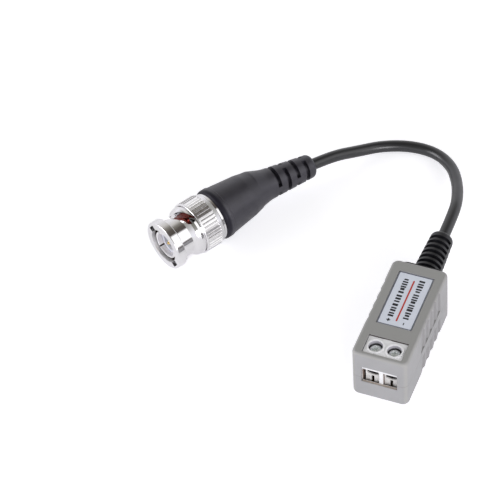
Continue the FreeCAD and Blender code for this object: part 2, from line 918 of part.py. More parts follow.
def make_round_cord(label, points, radius):
    """A round cord swept along its rounded path. Prints its radii and compares its volume."""
    path, radii = rounded_path(points)
    section = Part.Wire([Part.Circle(points[0], points[1] - points[0], radius).toShape()])
    item = doc.addObject("Part::Feature", label)
    item.Label = label
    item.Shape = path.makePipeShell([section], True, False)
    expected = math.pi * radius**2 * path.Length
    if abs(item.Shape.Volume / expected - 1) > 0.01:
        raise ValueError(f"{label} has the wrong volume")
    print(label, "length", round(path.Length, 1), "radii", [round(r, 1) for r in radii])
    subparts.append(item)


def make_inner_end():
    """The cable's jacketed end inside the housing, and the two leads down to the board."""
    end_face = inner_length - size("relief_inner_thickness") - size("running_gap") / 2
    end = doc.addObject("Part::Cylinder", "cable_core_end")
    end.Label = "cable_core_end"
    bind(end, "Radius", cable_radius)
    bind(end, "Height", size("core_end_length"))
    end.Placement = FreeCAD.Placement(V(0, 0, 0), FreeCAD.Rotation(V(1, 0, 0), 90))
    place(end, y=end_face, z=size("relief_height"))
    subparts.append(end)
    radius = size("lead_radius").value
    start_y = (end_face - size("core_end_length")).value
    axis_z = size("relief_height").value
    pad_z = board_top.value
    offset = cable_radius.value - radius
    for label, side in (("signal_lead", -1), ("shield_lead", 1)):
        x = side * offset
        knee = V(x, start_y - 4 * radius, axis_z)
        foot = V(side * 3 * offset, start_y - 7 * radius, pad_z + 3 * radius)
        points = [V(x, start_y, axis_z), knee, foot, V(foot.x, foot.y, pad_z)]
        make_round_cord(label, points, radius)


# Plug

hub_rim_start = size("sleeve_length") + size("hub_rim_gap")
boot_front = hub_rim_start + size("hub_rim_thickness")
plug_axis_height = size("drum_radius")


def place_plug(item):
    """Turn an object's Z axis along the plug, mouth to boot, and carry its origin to the mouth."""
    heading = math.radians(size("plug_heading").value)
    along = V(math.cos(heading), math.sin(heading), 0)
    side = V(-math.sin(heading), math.cos(heading), 0)
    item.Placement = FreeCAD.Placement(V(0, 0, 0), FreeCAD.Rotation(side, V(0, 0, 1), along, "ZXY"))
    place(item, x=size("mouth_x"), y=size("mouth_y"), z=plug_axis_height)


def plug_point(local):
    """A point of the plug's own frame in the part's frame."""
    heading = math.radians(size("plug_heading").value)
    along = V(math.cos(heading), math.sin(heading), 0)
    side = V(-math.sin(heading), math.cos(heading), 0)
    mouth = V(size("mouth_x").value, size("mouth_y").value, plug_axis_height.value)
    return mouth + side * local.x + V(0, 0, 1) * local.y + along * local.z


def make_coupling_sleeve():
    """The bayonet sleeve: lip, slotted barrel flaring to a collar, knurled drum, and a shoulder inside."""
    lip, barrel, drum = size("lip_radius"), size("barrel_radius"), size("drum_radius")
    collar, end = size("collar_radius"), size("sleeve_length")
    groove = collar - size("collar_groove")
    shoulder_end = size("shoulder_start") + size("shoulder_thickness")
    profile = [
        (size("bore_radius"), 0),
        (lip, 0),
        (lip, size("lip_length")),
        (barrel, size("lip_length")),
        (barrel, size("flare_start")),
        (size("flare_shoulder"), size("flare_middle")),
        (collar, size("flare_end")),
        (collar, size("collar_end")),
        (groove, size("collar_end")),
        (groove, size("drum_start")),
        (drum, size("drum_start")),
        (drum, size("knurl_end")),
        (size("drum_rear_radius"), end),
        (size("drum_bore_radius"), end),
        (size("drum_bore_radius"), shoulder_end),
        (size("shoulder_radius"), shoulder_end),
        (size("shoulder_radius"), size("shoulder_start")),
        (size("bore_radius"), size("shoulder_start")),
    ]
    body = turned_body("coupling_sleeve", profile)
    rims = [(lip, 0), (lip, size("lip_length")), (drum, size("drum_start")), (size("drum_rear_radius"), end)]
    tests = [ring_at(radius, height) for radius, height in rims]
    round_edges(body, lambda edge: any(test(edge) for test in tests), size("sleeve_rounding"))
    cover_end = size("lip_length") + size("cover_length")
    for opposite in (0, 180):
        sketch = new_sketch(body, "XZ_Plane", turn=turn_about_axis(size("notch_heading").value + opposite))
        inner = barrel - size("tool_margin")
        outline(sketch, rectangle(inner, size("lip_length") / 2, size("cover_radius"), cover_end))
        revolve(body, sketch, angle=size("cover_span"), centred=True)
    notch = size("notch_width") / 2
    cuts = [
        (size("notch_reach"), size("lip_length") - size("sleeve_rounding")),
        (size("channel_reach"), size("channel_length")),
    ]
    for reach, depth in cuts:
        turn = FreeCAD.Placement(V(0, 0, 0), FreeCAD.Rotation(V(0, 0, 1), size("notch_heading").value))
        sketch = new_sketch(body, turn=turn)
        outline(sketch, rectangle(-reach, -notch, reach, notch))
        pocket(body, sketch, depth, flip=True)
    heading = size("notch_heading").value + size("slot_lead").value
    sketch = new_sketch(body, "XZ_Plane", turn=turn_about_axis(heading))
    inner, outer = size("bore_radius") - size("tool_margin"), drum + size("tool_margin")
    low, high = size("slot_start"), size("slot_start") + size("slot_height")
    outline(sketch, rectangle(inner, low, outer, high))
    slot = body.newObject("PartDesign::SubtractiveHelix", "bayonet_slot")
    slot.Profile = sketch
    slot.ReferenceAxis = (sketch, ["V_Axis"])
    slot.Mode = "height-turns-angle"
    bind(slot, "Height", size("slot_rise"))
    bind(slot, "Turns", size("slot_turn") / 360)
    body.Tip = slot
    repeat_round(body, slot, 2)
    sketch = new_sketch(body, "XZ_Plane", turn=turn_about_axis(heading + size("slot_turn").value - 90))
    detent_height = size("slot_start") + size("slot_rise") + size("slot_height") / 2
    circle(sketch, 0, detent_height, size("detent_radius"))
    detent = pocket(body, sketch, outer * 2)
    detent.Midplane = True
    doc.recompute()
    knurl_start = size("drum_start") + size("drum_rim")
    sketch = new_sketch(body, lift=knurl_start)
    deep, proud = drum - size("knurl_depth"), drum + size("knurl_depth")
    outline(sketch, [(deep, 0), (proud, -size("knurl_width")), (proud, size("knurl_width"))])
    groove = pocket(body, sketch, size("knurl_end") - knurl_start, flip=True)
    repeat_round(body, groove, size("knurl_count"))
    place_plug(body)


flange_start = size("gasket_start") + size("gasket_length")
spring_start = flange_start + size("flange_thickness") + size("washer_gap")
thrust_end = size("shoulder_start") - size("washer_gap")
clip_start = size("shoulder_start") + size("shoulder_thickness") + size("washer_gap")
clip_end = clip_start + size("clip_thickness")
hub_start = clip_end + size("washer_gap")


def make_plug_body():
    """The turned body: slotted outer contact, gasket seat, flange, stem, clip groove, hub, crimp spigot."""
    bore, tip, radius = size("contact_bore"), size("contact_tip"), size("contact_radius")
    seat, stem, spigot = size("seat_radius"), size("stem_radius"), size("spigot_radius")
    spigot_end = boot_front + size("spigot_length")
    profile = [
        (bore, tip),
        (radius, tip),
        (radius, size("gasket_start")),
        (seat, size("gasket_start")),
        (seat, flange_start),
        (size("flange_radius"), flange_start),
        (size("flange_radius"), flange_start + size("flange_thickness")),
        (stem, flange_start + size("flange_thickness")),
        (stem, clip_start),
        (size("clip_seat_radius"), clip_start),
        (size("clip_seat_radius"), hub_start),
        (size("hub_radius"), hub_start),
        (size("hub_radius"), hub_rim_start),
        (size("hub_rim_radius"), hub_rim_start),
        (size("hub_rim_radius"), boot_front),
        (spigot, boot_front),
        (spigot, spigot_end),
        (size("spigot_bore"), spigot_end),
        (size("spigot_bore"), size("insulator_end")),
        (bore, size("insulator_end")),
    ]
    body = turned_body("plug_body", profile)
    half = size("finger_slot") / 2
    reach = radius + size("tool_margin")
    for quarter in (0, 90):
        heading = size("finger_heading").value + quarter
        turn = FreeCAD.Placement(V(0, 0, 0), FreeCAD.Rotation(V(0, 0, 1), heading))
        sketch = new_sketch(body, lift=tip, turn=turn)
        outline(sketch, rectangle(-reach, -half, reach, half))
        pocket(body, sketch, size("finger_depth"), flip=True)
    place_plug(body)


def make_plug_rings():
    """What the body carries on its outside: gasket, spring washer, thrust washer, retaining clip, crimp."""
    gap = size("washer_gap")
    spigot = size("spigot_radius") + gap
    crimp_start = boot_front + size("crimp_start")
    rings = {
        "gasket": (
            size("seat_radius") + gap,
            size("gasket_radius"),
            size("gasket_start") + gap,
            flange_start - gap / 2,
        ),
        "spring_washer": (
            size("stem_radius") + gap,
            size("flange_radius"),
            spring_start,
            spring_start + size("washer_thickness"),
        ),
        "thrust_washer": (
            size("stem_radius") + gap,
            size("flange_radius"),
            thrust_end - size("thrust_thickness"),
            thrust_end,
        ),
        "retaining_ring": (size("clip_seat_radius") + gap, size("clip_radius"), clip_start, clip_end),
        "crimp_sleeve": (
            spigot,
            spigot + size("crimp_thickness"),
            crimp_start,
            crimp_start + size("crimp_length"),
        ),
    }
    for label, (inner, outer, start, end) in rings.items():
        body = turned_body(label, rectangle(inner, start, outer, end))
        place_plug(body)


def make_plug_core():
    """White insulator with its socket, the gold pin in it, and the cable's end inside the spigot."""
    start, web, end = size("insulator_start"), size("insulator_web"), size("insulator_end")
    outer = size("contact_bore") - size("washer_gap")
    pin = size("pin_radius")
    root = size("pin_root_radius")
    hole = root + size("washer_gap") / 2
    profile = [(size("insulator_bore"), start), (outer, start), (outer, end - size("washer_gap"))]
    profile += [(hole, end - size("washer_gap")), (hole, web), (size("insulator_bore"), web)]
    body = turned_body("insulator", profile)
    place_plug(body)
    tip, step, end = size("pin_tip"), size("pin_step"), size("pin_end")
    profile = [(0, tip), (size("pin_nose"), tip), (pin, tip + pin), (pin, step), (root, step)]
    body = turned_body("centre_pin", profile + [(root, end), (0, end)])
    place_plug(body)
    core = size("spigot_bore") - size("washer_gap")
    start = size("pin_end") + size("washer_gap")
    cable_end = boot_front + size("spigot_length") + size("crimp_start")
    body = turned_body("plug_cable_end", rectangle(0, start, core, cable_end))
    place_plug(body)


def tail_frame(turned=0):
    """The tail's own sketch frame: at the neck, bent off the plug's axis, and turned about its own axis."""
    plane = FreeCAD.Rotation(V(0, 1, 0), size("boot_bend_heading").value)
    bend = FreeCAD.Rotation(V(0, 0, 1), size("boot_bend").value)
    about = FreeCAD.Rotation(V(0, 1, 0), turned)
    return FreeCAD.Placement(V(0, size("boot_neck").value, 0), plane.multiply(bend).multiply(about))


def make_boot():
    """The moulded boot: a rounded nose, a long taper, and a slotted tail bent with the cable."""
    nose, step, face = size("boot_nose_radius"), size("boot_step"), size("boot_face_radius")
    nose_end = boot_front + size("boot_nose_length")
    chamfer = nose - face
    cavity = size("spigot_radius") + size("crimp_thickness") + size("washer_gap") * 2
    cavity_end = boot_front + size("spigot_length") + size("crimp_start")
    neck, shoulder = size("boot_neck"), size("boot_shoulder")
    profile = [
        (0, cavity_end),
        (cavity, cavity_end),
        (cavity, boot_front),
        (face, boot_front),
        (nose, boot_front + chamfer),
        (nose, nose_end),
        (nose - step, nose_end + step),
        (size("boot_shoulder_radius"), shoulder),
        (size("boot_neck_radius"), neck),
        (0, neck),
    ]
    body = turned_body("plug_boot", profile)
    round_edges(body, ring_at(face, boot_front), chamfer / 2)
    round_edges(body, ring_at(nose, boot_front + chamfer), chamfer)
    tail, root, slim = size("tail_length"), size("tail_root"), size("tail_end_radius")
    back = -size("tail_overlap")
    sketch = new_sketch(body, "XZ_Plane", turn=tail_frame())
    profile = [
        (0, back),
        (size("boot_neck_radius"), back),
        (size("boot_neck_radius"), 0),
        (size("tail_root_radius"), root),
        (slim, tail),
        (0, tail),
    ]
    outline(sketch, profile)
    revolve(body, sketch)
    round_edges(body, ring_of(size("tail_root_radius")), size("tail_root_rounding"))
    round_edges(body, ring_of(slim), size("tail_round"))
    for i in range(int(size("tail_slot_count").value)):
        turned = size("tail_slot_heading").value + 90 * (i % 2)
        sketch = new_sketch(body, "XZ_Plane", turn=tail_frame(turned))
        low = size("tail_slot_start") + size("tail_slot_pitch") * i
        high = low + size("tail_slot_width")
        floor, proud = size("tail_slot_floor"), size("tail_root_radius") + size("tool_margin")
        outline(sketch, rectangle(floor, low, proud, high))
        outline(sketch, rectangle(-proud, low, -floor, high))
        revolve(body, sketch, "PartDesign::Groove", angle=size("tail_slot_angle"), centred=True)
    place_plug(body)


# The cable's route between the strain relief's end and the straight stretch before the boot, set by hand

CABLE_MIDDLE = [
    V(0, 43.6, 8.6),
    V(-1.2, 50.2, 7.1),
    V(-3.6, 57.3, 4.9),
    V(-7.5, 64.5, 2.9),
    V(-13.5, 69.1, 1.8),
    V(-20.9, 69.6, 1.6),
    V(-28.4, 66.9, 1.9),
    V(-34.1, 61.6, 3.1),
]


def make_cable():
    """The free stretch of coax: out of the relief, down to rest on the surface, up into the boot's tail."""
    start = V(0, relief_end.value, size("relief_height").value)
    tail_points = []
    for beyond in (size("cable_entry"), 0):
        on_sketch = tail_frame().multVec(V(0, (size("tail_length") + beyond).value, 0))
        tail_points.append(plug_point(V(on_sketch.x, -on_sketch.z, on_sketch.y)))
    points = [start] + CABLE_MIDDLE + tail_points
    make_round_cord("cable", points, cable_radius.value)
    print("cable route", [[round(value, 2) for value in point] for point in points])


def check_and_export():
    """Stop on any failed object or bad solid, then write one file for each sub-part."""
    doc.recompute()
    for item in doc.Objects:
        if "Invalid" in item.State or "Error" in item.State:
            raise ValueError(f"{item.Name} of {item.getParent()} failed: {item.State}")
    os.makedirs("parts", exist_ok=True)
    for item in subparts:
        shape = item.Shape
        if shape.isNull() or not shape.isValid() or not shape.Solids:
            raise ValueError(f"{item.Label} has no valid solid")
        shape.exportStep(f"parts/{item.Label}.step")
        print(item.Label, len(shape.Solids), round(shape.Volume, 2))


make_lower_shell()
make_upper_shell()
make_label()
make_circuit_board()
make_terminal_block()
for pole_name, pole_side in POLES:
    make_screw(pole_name, pole_side)
    make_cage(pole_name, pole_side)
    make_fixed_contact(pole_name, pole_side)
make_core()
make_winding("line_winding", 0)
make_winding("coax_winding", 180)
make_board_parts()
make_strain_relief()
make_inner_end()
make_coupling_sleeve()
make_plug_body()
make_plug_rings()
make_plug_core()
make_boot()
make_cable()
check_and_export()
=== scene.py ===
# A video balun on a pale floor: grey housing with screw terminals, short coax, moulded bayonet plug

import math
import random

import bmesh
import bpy
from mathutils import Matrix, Vector


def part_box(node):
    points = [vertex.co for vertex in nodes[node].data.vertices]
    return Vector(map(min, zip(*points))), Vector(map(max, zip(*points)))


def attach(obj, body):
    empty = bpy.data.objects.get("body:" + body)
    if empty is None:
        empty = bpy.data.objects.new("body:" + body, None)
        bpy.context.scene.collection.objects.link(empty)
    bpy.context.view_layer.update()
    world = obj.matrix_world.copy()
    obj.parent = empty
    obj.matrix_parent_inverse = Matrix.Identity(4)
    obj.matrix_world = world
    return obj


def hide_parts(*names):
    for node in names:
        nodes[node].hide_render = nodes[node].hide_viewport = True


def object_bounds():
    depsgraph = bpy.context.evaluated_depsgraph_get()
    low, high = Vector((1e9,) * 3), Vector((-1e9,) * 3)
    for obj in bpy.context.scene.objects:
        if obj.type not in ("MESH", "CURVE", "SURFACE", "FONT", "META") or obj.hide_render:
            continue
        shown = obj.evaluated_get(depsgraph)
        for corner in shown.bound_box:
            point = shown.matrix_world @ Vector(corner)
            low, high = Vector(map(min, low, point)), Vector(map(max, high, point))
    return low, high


# Lengths are in millimetres, in the frame's own coordinates, unless a comment gives metres

MM = 0.001
AXES = {"x": (1, 0, 0), "y": (0, 1, 0), "z": (0, 0, 1)}
PLUG_MOUTH = (-69.9, 8.4, 7.5)
PLUG_AXIS = (-0.5, -0.8660254, 0)
PLUG_ACROSS = (0.8660254, -0.5, 0)

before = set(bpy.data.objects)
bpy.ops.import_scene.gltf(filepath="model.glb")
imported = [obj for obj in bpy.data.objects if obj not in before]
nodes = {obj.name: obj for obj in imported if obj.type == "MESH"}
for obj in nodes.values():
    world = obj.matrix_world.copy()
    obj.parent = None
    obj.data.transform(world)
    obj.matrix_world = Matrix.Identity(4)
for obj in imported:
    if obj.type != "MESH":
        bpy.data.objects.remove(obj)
cad_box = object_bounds()


def add_object(name, data):
    piece = bpy.data.objects.new(name, data)
    bpy.context.scene.collection.objects.link(piece)
    return piece


def as_object(name, mesh):
    """Turn an edited mesh into an object, and free it."""
    data = bpy.data.meshes.new(name)
    mesh.to_mesh(data)
    mesh.free()
    return add_object(name, data)


# Camera, placed by a fit of the housing's corners, the terminal screws and the plug's mouth

CAMERA_ANGLES = (24.35, 48.01, -4.29)
CAMERA_SHIFT = (42.0, -29.19)
CAMERA_DISTANCE = 782.7
FOCAL_LENGTH = 225
SENSOR_WIDTH = 36
CLIP_RANGE = (50, 20000)


def aim_camera():
    yaw, tilt, roll = (math.radians(angle) for angle in CAMERA_ANGLES)
    across, down = CAMERA_SHIFT
    back = Vector((math.sin(yaw) * math.cos(tilt), -math.cos(yaw) * math.cos(tilt), math.sin(tilt)))
    level = Vector((math.cos(yaw), math.sin(yaw), 0))
    upright = back.cross(level)
    right = math.cos(roll) * level + math.sin(roll) * upright
    up = -math.sin(roll) * level + math.cos(roll) * upright
    data = bpy.data.cameras.new("camera")
    data.lens, data.sensor_width = FOCAL_LENGTH, SENSOR_WIDTH
    data.clip_start, data.clip_end = (distance * MM for distance in CLIP_RANGE)
    camera = add_object("camera", data)
    place = (back * CAMERA_DISTANCE - right * across - up * down) * MM
    camera.matrix_world = Matrix.Translation(place) @ Matrix((right, up, back)).transposed().to_4x4()
    bpy.context.scene.camera = camera


aim_camera()


# Node helpers, shared by the materials, the floor and the world

def join_math(tree, operation, first, second):
    """One sum on two values, each of them a float or a socket."""
    node = tree.nodes.new("ShaderNodeMath")
    node.operation = operation
    for socket, value in zip(node.inputs, (first, second)):
        if isinstance(value, float):
            socket.default_value = value
        else:
            tree.links.new(value, socket)
    return node.outputs["Value"]


def project(tree, place, direction):
    """How far a place lies along a direction."""
    node = tree.nodes.new("ShaderNodeVectorMath")
    node.operation = "DOT_PRODUCT"
    node.inputs[1].default_value = direction
    tree.links.new(place, node.inputs[0])
    return node.outputs["Value"]


def blend(tree, factor, first, second):
    """The colour between two, each of them a tuple or a socket."""
    mix = tree.nodes.new("ShaderNodeMix")
    mix.data_type = "RGBA"
    tree.links.new(factor, mix.inputs["Factor"])
    for name, value in (("A", first), ("B", second)):
        if isinstance(value, tuple):
            mix.inputs[name].default_value = (*value, 1)
        else:
            tree.links.new(value, mix.inputs[name])
    return mix.outputs["Result"]


# Materials

class Shader:
    """A node material built step by step round one principled shader, in the object's own coordinates."""

    def __init__(self, name, colour, roughness, **sockets):
        self.material = bpy.data.materials.new(name)
        self.material.use_nodes = True
        self.tree = self.material.node_tree
        self.surface = self.tree.nodes["Principled BSDF"]
        self.surface.inputs["Base Color"].default_value = (*colour, 1)
        self.surface.inputs["Roughness"].default_value = roughness
        for socket, value in sockets.items():
            self.surface.inputs[socket.replace("_", " ")].default_value = value
        self.colour = colour
        self.height = None
        self.place = self.tree.nodes.new("ShaderNodeTexCoord").outputs["Object"]

    def link(self, source, target):
        self.tree.links.new(source, target)

    def combine(self, operation, first, second):
        return join_math(self.tree, operation, first, second)

    def stretched(self, stretch):
        """Coordinates in which a pattern is drawn out where the stretch is below 1."""
        mapping = self.tree.nodes.new("ShaderNodeMapping")
        mapping.inputs["Scale"].default_value = stretch
        self.link(self.place, mapping.inputs["Vector"])
        return mapping.outputs["Vector"]

    def noise(self, size, detail=3.0, where=None):
        """A noise whose features are about that many millimetres across."""
        node = self.tree.nodes.new("ShaderNodeTexNoise")
        node.inputs["Scale"].default_value = 1 / (size * MM)
        node.inputs["Detail"].default_value = detail
        self.link(where or self.place, node.inputs["Vector"])
        return node.outputs["Fac"]

    def span(self, value, low, high, from_low=0.3, from_high=0.7):
        """Carry the range from_low to from_high over to the range low to high, held at both ends."""
        node = self.tree.nodes.new("ShaderNodeMapRange")
        ends = {"From Min": from_low, "From Max": from_high, "To Min": low, "To Max": high}
        for socket, number in ends.items():
            node.inputs[socket].default_value = number
        self.link(value, node.inputs["Value"])
        return node.outputs["Result"]

    def along(self, direction, start=(0, 0, 0)):
        """How far a point lies along a direction, in millimetres from the start."""
        reach = project(self.tree, self.place, [part / MM for part in direction])
        origin = sum(part * shift for part, shift in zip(direction, start))
        return self.combine("SUBTRACT", reach, float(origin))

    def within(self, value, low, high, soft=0.05):
        """A mask that is 1 between two values and fades over the soft distance either side of each."""
        rise = self.span(value, 0, 1, low - soft, low + soft)
        fall = self.span(value, 1, 0, high - soft, high + soft)
        return self.combine("MULTIPLY", rise, fall)

    def inside(self, soft=0.05, **ranges):
        """One such mask for each axis that a range is given for."""
        return [self.within(self.along(AXES[axis]), low, high, soft) for axis, (low, high) in ranges.items()]

    def facing(self):
        """The size of each part of the surface's normal: along x, y and z."""
        split = self.tree.nodes.new("ShaderNodeSeparateXYZ")
        self.link(self.tree.nodes.new("ShaderNodeNewGeometry").outputs["Normal"], split.inputs[0])
        return [self.combine("ABSOLUTE", part, 0.0) for part in split.outputs]

    def mottle(self, size, dark, light):
        """Vary the base colour between two shades, given as shares of it. It comes before any stain."""
        shades = [tuple(min(1, channel * share) for channel in self.colour) for share in (dark, light)]
        patches = self.span(self.noise(size), 0, 1)
        self.link(blend(self.tree, patches, *shades), self.surface.inputs["Base Color"])
        return self

    def stain(self, colour, *masks):
        """Lay another colour over the base where every mask is 1."""
        cover = masks[0]
        for mask in masks[1:]:
            cover = self.combine("MULTIPLY", cover, mask)
        base = self.surface.inputs["Base Color"]
        self.link(blend(self.tree, cover, base.links[0].from_socket, colour), base)
        return self

    def rough(self, size, low, high):
        """Vary the roughness between two values."""
        self.link(self.span(self.noise(size), low, high), self.surface.inputs["Roughness"])
        return self

    def bump(self, size, depth, where=None):
        """Relief of that depth in millimetres, laid over any earlier relief."""
        node = self.tree.nodes.new("ShaderNodeBump")
        node.inputs["Strength"].default_value = 1
        node.inputs["Distance"].default_value = depth * MM
        self.link(self.noise(size, 2.0, where), node.inputs["Height"])
        if self.height:
            self.link(self.height, node.inputs["Normal"])
        self.height = node.outputs["Normal"]
        self.link(self.height, self.surface.inputs["Normal"])
        return self


def dress(shader, *names):
    for name in names:
        node = nodes[name]
        node.data.materials.clear()
        node.data.materials.append(shader.material)


def age_housing(grey):
    """Painted shade on the top, in the flutes, in the gap behind the block and on the sill, painted
    highlights on the edges, and a darker line at the shells' seam.
    """
    top_shade, edge_highlight, flute_shade = (0.312, 0.312, 0.305), (0.43, 0.42, 0.39), (0.2, 0.19, 0.21)
    shadow, seam, sill_shade = (0.06, 0.05, 0.045), (0.26, 0.25, 0.24), (0.42, 0.35, 0.29)
    face_x, face_y, face_z = grey.facing()
    flattest = grey.combine("MAXIMUM", face_x, grey.combine("MAXIMUM", face_y, face_z))
    level = grey.span(face_z, 0, 1, 0.93, 0.99)
    rims = grey.span(flattest, 0.4, 0, 0.8, 0.95)
    sides = grey.span(face_x, 0, 1, 0.4, 0.6)
    creases = grey.span(face_y, 0, 0.45, 0.12, 0.45)
    # Painted shade: the top faces are darker.
    grey.stain(top_shade, level)
    # Painted highlight: the rounded edges are lighter.
    grey.stain(edge_highlight, rims)
    # Painted shade: darker where the side flutes turn their steep faces.
    grey.stain(flute_shade, creases, sides, *grey.inside(y=(-7.5, 10.5)))
    # Painted shadow in the gap behind the terminal block.
    grey.stain(shadow, *grey.inside(y=(-9.75, -9.45), x=(-5.1, 5.7), z=(14, 16.1)))
    grey.stain(seam, *grey.inside(z=(7.33, 7.47), soft=0.04))
    # Painted warm shade on the window's sill.
    grey.stain(sill_shade, *grey.inside(y=(-16.7, -15.6), z=(5.6, 5.9), x=(-4.6, 5.2)))


def shade_block(block):
    """Painted shade: brown in the chambers behind the front window, and grey on the walls of the screw
    wells, darkest round the heads.
    """
    chamber_shade, well_wall_shade, well_ring_shade = (0.34, 0.26, 0.22), (0.5, 0.49, 0.53), (0.11, 0.11, 0.115)
    # Painted shade in the chambers behind the front window.
    block.stain(chamber_shade, *block.inside(y=(-15.85, -10), z=(3, 13.3)))
    walls = block.span(block.facing()[2], 1, 0, 0.2, 0.5)
    # Painted shade on the walls of the screw wells.
    block.stain(well_wall_shade, walls, *block.inside(z=(13.9, 15.75)))
    # Darker painted shade round the screw heads.
    block.stain(well_ring_shade, walls, *block.inside(z=(13.7, 14.75), soft=0.15))


def shade_clamps(metal):
    """Painted shade on the jaw's floor, behind the bright front edge of each cage."""
    jaw_floor_shade = (0.03, 0.022, 0.02)
    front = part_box("clamp_cage_positive")[0].y / MM
    level = metal.span(metal.facing()[2], 0, 1, 0.7, 0.85)
    behind = metal.span(metal.along(AXES["y"]), 0, 1, front + 0.3, front + 0.45)
    # Painted shade: the jaw's floor is dark behind the front edge.
    metal.stain(jaw_floor_shade, level, behind)


def plug_depth(shader):
    """How far a point lies behind the plug's mouth."""
    return shader.combine("MULTIPLY", shader.along(PLUG_AXIS, PLUG_MOUTH), -1.0)


def plug_radius(shader):
    """How far a point lies from the plug's axis."""
    across, height = (shader.along(axis, PLUG_MOUTH) for axis in (PLUG_ACROSS, AXES["z"]))
    squares = [shader.combine("POWER", part, 2.0) for part in (across, height)]
    return shader.combine("SQRT", shader.combine("ADD", *squares), 0.0)


def shade_nose(black):
    """The boot's nose, turned in behind the drum, shines less than the rest."""
    shine = black.span(plug_depth(black), 0.15, 0.9, 17.6, 18.2)
    black.link(shine, black.surface.inputs["Specular IOR Level"])


def roughen_plug(metal):
    """The drum and the bore are duller than the outside; the bore wall carries painted shade, and further in
    the metal inside the bore is dark red.
    """
    bore_shade, ring_red = (0.07, 0.045, 0.04), (0.15, 0.022, 0.017)
    drum_dullness, bore_dullness = 0.14, 0.5
    depth, radius = plug_depth(metal), plug_radius(metal)
    metal.stain(ring_red, metal.within(depth, 5.2, 9.2), metal.span(radius, 1, 0, 4.82, 4.9))
    # Painted shade on the bore wall just behind the mouth.
    metal.stain(bore_shade, metal.within(depth, 1.1, 6, 0.15), metal.within(radius, 4.8, 5.03))
    drum = metal.combine("MULTIPLY", metal.within(depth, 9.4, 15.4), metal.span(radius, 0, 1, 6.9, 7.0))
    bore = metal.combine("MULTIPLY", metal.within(depth, 0.05, 7.0), metal.span(radius, 1, 0, 4.98, 5.05))
    total = metal.surface.inputs["Roughness"].links[0].from_socket
    for mask, dullness in ((drum, drum_dullness), (bore, bore_dullness)):
        total = metal.combine("ADD", total, metal.combine("MULTIPLY", mask, dullness))
    metal.link(total, metal.surface.inputs["Roughness"])


moulded_grey = Shader("moulded_grey", (0.357, 0.355, 0.363), 0.45)
moulded_grey.mottle(5, 0.96, 1.04).rough(2.5, 0.4, 0.52).bump(0.25, 0.012).bump(3.0, 0.02)
age_housing(moulded_grey)
printed_film = Shader("printed_film", (0.69, 0.73, 0.82), 0.3, Coat_Weight=0.3)
printed_film.mottle(3, 0.98, 1.02).rough(2, 0.26, 0.36).bump(2.4, 0.01)
ink = Shader("ink", (0.012, 0.012, 0.018), 0.45).mottle(0.6, 0.7, 1.3)
# Painted shade for the rim of the label's recess.
label_rim_shade = Shader("label_rim_shade", (0.13, 0.14, 0.18), 0.45).mottle(0.8, 0.85, 1.15)
red_ink = Shader("red_ink", (0.5, 0.035, 0.025), 0.45).mottle(0.8, 0.92, 1.08)
terminal_grey = Shader("terminal_grey", (0.86, 0.86, 0.88), 0.4)
terminal_grey.mottle(3, 0.96, 1.03).rough(2, 0.35, 0.48).bump(0.3, 0.008)
shade_block(terminal_grey)
screw_steel = Shader("screw_steel", (0.9, 0.97, 0.97), 0.26, Metallic=0.25)
screw_steel.mottle(0.4, 0.9, 1.1).rough(0.5, 0.2, 0.42).bump(0.35, 0.03)
tinned = Shader("tinned", (0.93, 0.92, 0.91), 0.32, Metallic=0.15)
tinned.mottle(1.2, 0.9, 1.06).rough(1, 0.24, 0.44).bump(0.4, 0.01)
shade_clamps(tinned)
moulded_black = Shader("moulded_black", (0.017, 0.016, 0.023), 0.42, Specular_IOR_Level=0.9)
moulded_black.surface.inputs["Specular Tint"].default_value = (0.96, 0.94, 1, 1)
moulded_black.mottle(3, 0.85, 1.15).rough(2, 0.36, 0.48).bump(0.22, 0.01).bump(2.5, 0.02)
shade_nose(moulded_black)
relief_black = Shader("relief_black", (0.01, 0.01, 0.013), 0.34, Specular_IOR_Level=0.55)
relief_black.mottle(3, 0.85, 1.15).rough(2, 0.3, 0.4).bump(0.22, 0.01)
jacket = Shader("jacket", (0.012, 0.012, 0.015), 0.32, Specular_IOR_Level=0.8)
jacket.mottle(4, 0.85, 1.15).rough(3, 0.28, 0.36).bump(0.3, 0.006)
nickel = Shader("nickel", (0.8, 0.79, 0.8), 0.12, Metallic=1)
nickel.mottle(3, 0.96, 1.02).rough(1.5, 0.06, 0.14).bump(2.2, 0.01)
roughen_plug(nickel)
spring_steel = Shader("spring_steel", (0.5, 0.5, 0.52), 0.3, Metallic=1)
spring_steel.mottle(1, 0.85, 1.1).rough(0.8, 0.22, 0.4)
white_insulator = Shader("white_insulator", (0.74, 0.73, 0.8), 0.4, Subsurface_Weight=0.1)
white_insulator.mottle(1.5, 0.97, 1.03).rough(1, 0.34, 0.46).bump(0.3, 0.006)
gold = Shader("gold", (0.83, 0.58, 0.22), 0.2, Metallic=1)
gold.mottle(0.8, 0.9, 1.05).rough(0.6, 0.14, 0.28)
silicone = Shader("silicone", (0.2, 0.025, 0.015), 0.5).mottle(1, 0.85, 1.15).rough(0.8, 0.4, 0.6)
board_brown = Shader("board_brown", (0.1, 0.06, 0.03), 0.4).mottle(1.5, 0.8, 1.2).bump(0.5, 0.01)
ferrite = Shader("ferrite", (0.05, 0.05, 0.055), 0.6).mottle(1, 0.8, 1.3).bump(0.3, 0.02)
copper = Shader("copper", (0.5, 0.16, 0.06), 0.3, Metallic=1)
copper.mottle(0.6, 0.8, 1.1).bump(0.4, 0.02, copper.stretched((1, 1, 0.15)))
part_blue = Shader("part_blue", (0.03, 0.1, 0.3), 0.35).mottle(0.8, 0.9, 1.1)
lead_white = Shader("lead_white", (0.6, 0.6, 0.6), 0.4).mottle(1, 0.92, 1.04)

